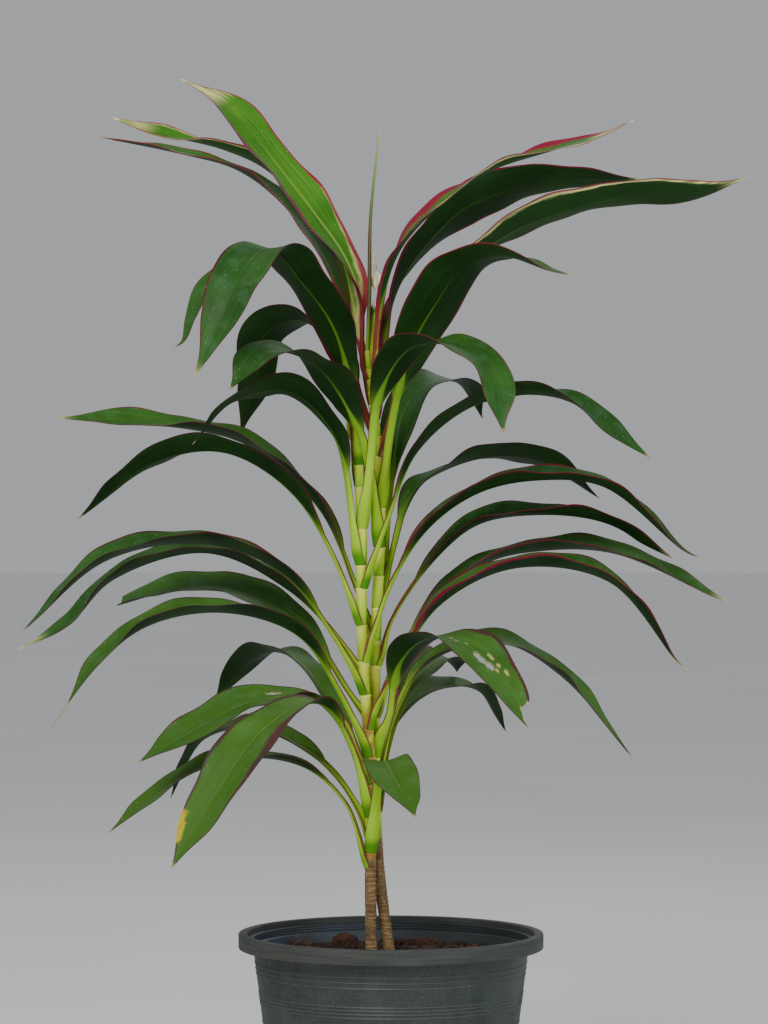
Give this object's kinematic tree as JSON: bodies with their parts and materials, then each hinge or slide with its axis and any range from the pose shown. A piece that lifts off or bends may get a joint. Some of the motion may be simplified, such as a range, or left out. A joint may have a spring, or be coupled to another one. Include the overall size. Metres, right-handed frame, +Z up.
{
  "type": "potted ti plant",
  "caption": "Ti plant with arching, red-edged strap leaves on slim ringed canes, standing in coir in a tapered plastic nursery pot.",
  "frame": {"origin": "middle of the pot's underside, on the floor it stands on", "axes": "+Z up along the pot's axis and the plant's height, +X to the viewer's right in the picture, +Y to the back"},
  "size_m": [0.6155, 0.3274, 0.9216],
  "materials": {
    "leaf": "satin green leaf with thin red edges",
    "new_leaf": "rolled young leaf, cream and pink green",
    "cane": "ringed cane, brown below and yellow green above",
    "pot": "dusty dark slate plastic with fine ribs",
    "soil": "rough red brown coir and husk chips"
  },
  "bodies": {
    "root": {"pot": "pot", "soil": "soil", "cane_left": "cane", "cane_right": "cane", "spear_left": "new_leaf", "spear_right": "new_leaf", "leaf_young": "new_leaf", "leaf_left_01": "leaf", "leaf_left_02": "leaf", "leaf_left_03": "leaf", "leaf_left_04": "leaf", "leaf_left_05": "leaf", "leaf_left_06": "leaf", "leaf_left_07": "leaf", "leaf_left_08": "leaf", "leaf_left_09": "leaf", "leaf_left_10": "leaf", "leaf_left_11": "leaf", "leaf_left_12": "leaf", "leaf_left_13": "leaf", "leaf_left_14": "leaf", "leaf_left_15": "leaf", "leaf_left_16": "leaf", "leaf_left_17": "leaf", "leaf_left_18": "leaf", "leaf_left_19": "leaf", "leaf_right_01": "leaf", "leaf_right_02": "leaf", "leaf_right_03": "leaf", "leaf_right_04": "leaf", "leaf_right_05": "leaf", "leaf_right_06": "leaf", "leaf_right_07": "leaf", "leaf_right_08": "leaf", "leaf_right_09": "leaf", "leaf_right_10": "leaf", "leaf_right_11": "leaf", "leaf_right_12": "leaf", "leaf_right_13": "leaf", "leaf_right_14": "leaf", "leaf_right_15": "leaf", "leaf_right_16": "leaf", "leaf_right_17": "leaf"}
  },
  "joints": []
}
